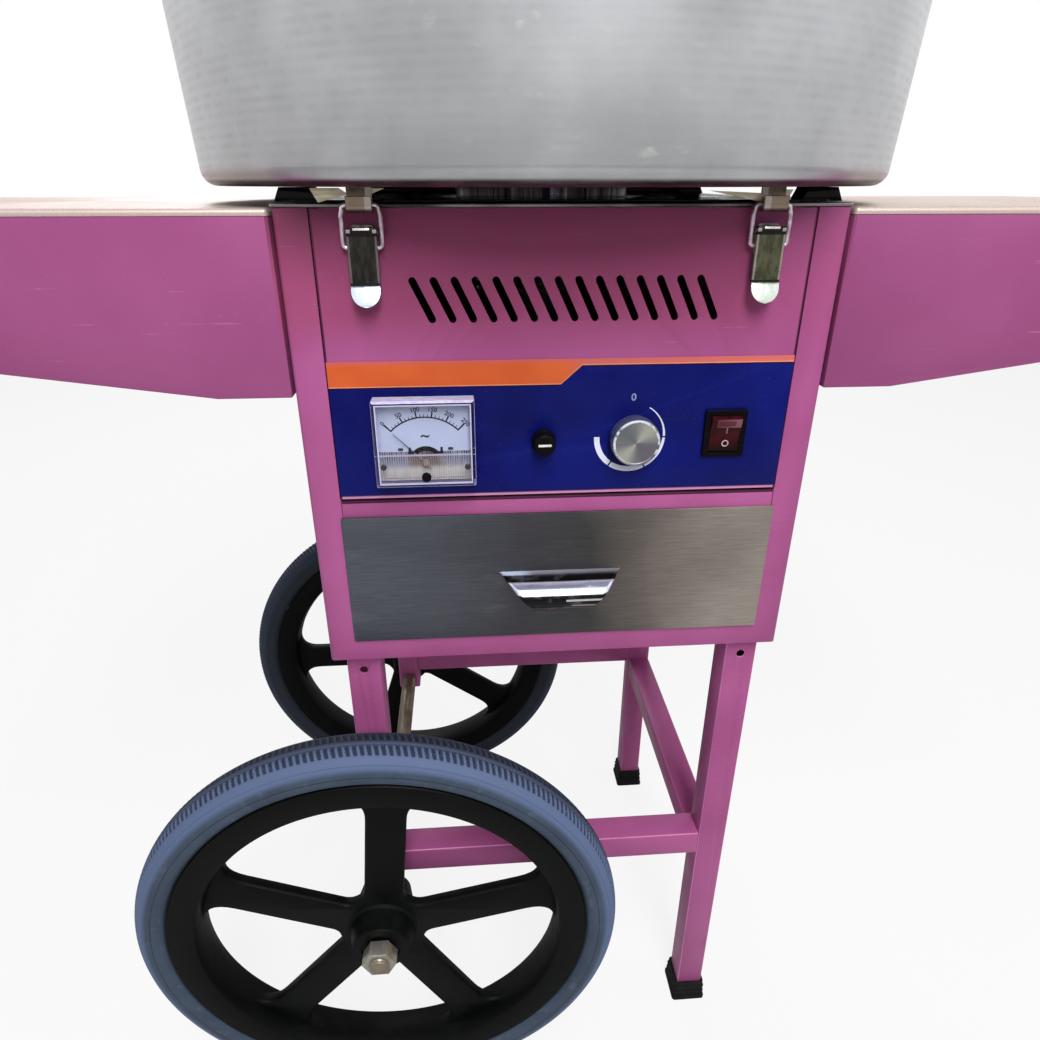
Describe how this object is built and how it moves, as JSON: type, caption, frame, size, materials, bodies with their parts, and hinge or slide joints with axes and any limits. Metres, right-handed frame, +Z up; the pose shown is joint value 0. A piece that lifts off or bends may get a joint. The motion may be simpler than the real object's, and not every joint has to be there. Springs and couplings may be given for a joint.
{
  "type": "candy floss machine on a cart",
  "caption": "Electric candy floss machine on a two-wheel cart: floss bowl with spinning head, control panel, drawer, draw latches and side wings.",
  "frame": {"origin": "on the floor, under the middle of the cabinet", "axes": "+Z up, +X to the right along the wings as seen from the control panel, +Y from the control panel to the back"},
  "size_m": [0.996, 0.52, 0.9466],
  "materials": {
    "pink_paint": "semi-gloss powder coat",
    "brushed_steel": "brushed",
    "polished_chrome": "polished",
    "spun_aluminium": "spun, satin",
    "latch_steel": "nickel plate",
    "axle_steel": "bare steel, lightly rusted",
    "tyre_rubber": "grey, fine tread",
    "black_plastic": "moulded",
    "black_rubber": "matt",
    "panel_print": "printed film, navy and orange",
    "clear_cover": "clear",
    "meter_dial": "white, printed scale",
    "needle_black": "thin painted pointer",
    "rocker_red": "dark red",
    "motor_iron": "painted iron",
    "controller_board": "board with heat sink"
  },
  "bodies": {
    "machine": {"leg_front_right": "pink_paint", "leg_rear_right": "pink_paint", "leg_front_left": "pink_paint", "leg_rear_left": "pink_paint", "stretcher_front": "pink_paint", "stretcher_rear": "pink_paint", "stretcher_right": "pink_paint", "cart_top_plate": "pink_paint", "wing_apron_left": "pink_paint", "wing_apron_right": "pink_paint", "cabinet_wrap": "pink_paint", "cabinet_floor": "pink_paint", "mid_rail": "pink_paint", "front_panel": "pink_paint", "wing_tray_left": "brushed_steel", "wing_tray_right": "brushed_steel", "deck_plate": "brushed_steel", "runner_left": "brushed_steel", "runner_right": "brushed_steel", "fuse_holder": "black_plastic", "switch_housing": "black_plastic", "cord_gland": "black_plastic", "foot_front": "black_rubber", "foot_rear": "black_rubber", "bowl_seat": "black_rubber", "axle": "axle_steel", "axle_nut_front": "axle_steel", "axle_nut_rear": "axle_steel", "latch_base_front_left": "latch_steel", "latch_base_front_right": "latch_steel", "latch_base_rear_left": "latch_steel", "latch_base_rear_right": "latch_steel", "control_label": "panel_print", "meter_case": "meter_dial", "meter_lens": "clear_cover", "heat_controller": "controller_board", "motor": "motor_iron", "bowl": "spun_aluminium"},
    "wheel_front": {"tyre_front": "tyre_rubber", "rim_front": "black_plastic"},
    "wheel_rear": {"tyre_rear": "tyre_rubber", "rim_rear": "black_plastic"},
    "drawer": {"drawer_front": "brushed_steel", "drawer_tray": "brushed_steel", "drawer_handle": "polished_chrome"},
    "knob": {"heat_knob": "spun_aluminium"},
    "rocker": {"switch_rocker": "rocker_red"},
    "fuse_cap_body": {"fuse_cap": "black_plastic"},
    "needle": {"meter_needle": "needle_black"},
    "spinner": {"motor_shaft": "axle_steel", "spinner_head": "spun_aluminium"},
    "lever_front_left": {"latch_lever_front_left": "latch_steel"},
    "bail_front_left": {"latch_bail_front_left": "polished_chrome"},
    "lever_front_right": {"latch_lever_front_right": "latch_steel"},
    "bail_front_right": {"latch_bail_front_right": "polished_chrome"},
    "lever_rear_left": {"latch_lever_rear_left": "latch_steel"},
    "bail_rear_left": {"latch_bail_rear_left": "polished_chrome"},
    "lever_rear_right": {"latch_lever_rear_right": "latch_steel"},
    "bail_rear_right": {"latch_bail_rear_right": "polished_chrome"}
  },
  "joints": [
    {"name": "wheel_front_spin", "type": "hinge", "parent": "machine", "child": "wheel_front", "pos_m": [-0.1465, -0.1985, 0.198], "axis": [0, 1, 0], "continuous": true},
    {"name": "wheel_rear_spin", "type": "hinge", "parent": "machine", "child": "wheel_rear", "pos_m": [-0.1465, 0.1925, 0.198], "axis": [0, 1, 0], "continuous": true},
    {"name": "drawer_slide", "type": "slide", "parent": "machine", "child": "drawer", "axis": [0, -1, 0], "range_m": [0, 0.2]},
    {"name": "heat_knob_turn", "type": "hinge", "parent": "machine", "child": "knob", "pos_m": [0.046, -0.1688, 0.6147], "axis": [0, 1, 0], "range_deg": [0, 270]},
    {"name": "switch_rock", "type": "hinge", "parent": "machine", "child": "rocker", "pos_m": [0.107, -0.1666, 0.6166], "axis": [-1, 0, 0], "range_deg": [0, 16]},
    {"name": "fuse_cap_turn", "type": "hinge", "parent": "machine", "child": "fuse_cap_body", "pos_m": [-0.013, -0.1688, 0.614], "axis": [0, -1, 0], "range_deg": [0, 90]},
    {"name": "meter_swing", "type": "hinge", "parent": "machine", "child": "needle", "pos_m": [-0.0894, -0.1726, 0.6026], "axis": [0, 1, 0], "range_deg": [0, 90]},
    {"name": "spinner_spin", "type": "hinge", "parent": "machine", "child": "spinner", "pos_m": [0, 0, 0.76], "axis": [0, 0, 1], "continuous": true},
    {"name": "lever_front_left_lift", "type": "hinge", "parent": "machine", "child": "lever_front_left", "pos_m": [-0.118, -0.1725, 0.741], "axis": [-1, 0, 0], "range_deg": [0, 90]},
    {"name": "bail_front_left_swing", "type": "hinge", "parent": "lever_front_left", "child": "bail_front_left", "pos_m": [-0.118, -0.1725, 0.733], "axis": [-1, 0, 0], "range_deg": [-70, 0]},
    {"name": "lever_front_right_lift", "type": "hinge", "parent": "machine", "child": "lever_front_right", "pos_m": [0.118, -0.1725, 0.741], "axis": [-1, 0, 0], "range_deg": [0, 90]},
    {"name": "bail_front_right_swing", "type": "hinge", "parent": "lever_front_right", "child": "bail_front_right", "pos_m": [0.118, -0.1725, 0.733], "axis": [-1, 0, 0], "range_deg": [-70, 0]},
    {"name": "lever_rear_left_lift", "type": "hinge", "parent": "machine", "child": "lever_rear_left", "pos_m": [-0.118, 0.1725, 0.741], "axis": [1, 0, 0], "range_deg": [0, 90]},
    {"name": "bail_rear_left_swing", "type": "hinge", "parent": "lever_rear_left", "child": "bail_rear_left", "pos_m": [-0.118, 0.1725, 0.733], "axis": [1, 0, 0], "range_deg": [-70, 0]},
    {"name": "lever_rear_right_lift", "type": "hinge", "parent": "machine", "child": "lever_rear_right", "pos_m": [0.118, 0.1725, 0.741], "axis": [1, 0, 0], "range_deg": [0, 90]},
    {"name": "bail_rear_right_swing", "type": "hinge", "parent": "lever_rear_right", "child": "bail_rear_right", "pos_m": [0.118, 0.1725, 0.733], "axis": [1, 0, 0], "range_deg": [-70, 0]}
  ],
  "couplings": [
    {"joint": "bail_front_left_swing", "follows": "lever_front_left_lift", "ratio": -0.775},
    {"joint": "bail_front_right_swing", "follows": "lever_front_right_lift", "ratio": -0.775},
    {"joint": "bail_rear_left_swing", "follows": "lever_rear_left_lift", "ratio": -0.775},
    {"joint": "bail_rear_right_swing", "follows": "lever_rear_right_lift", "ratio": -0.775}
  ]
}
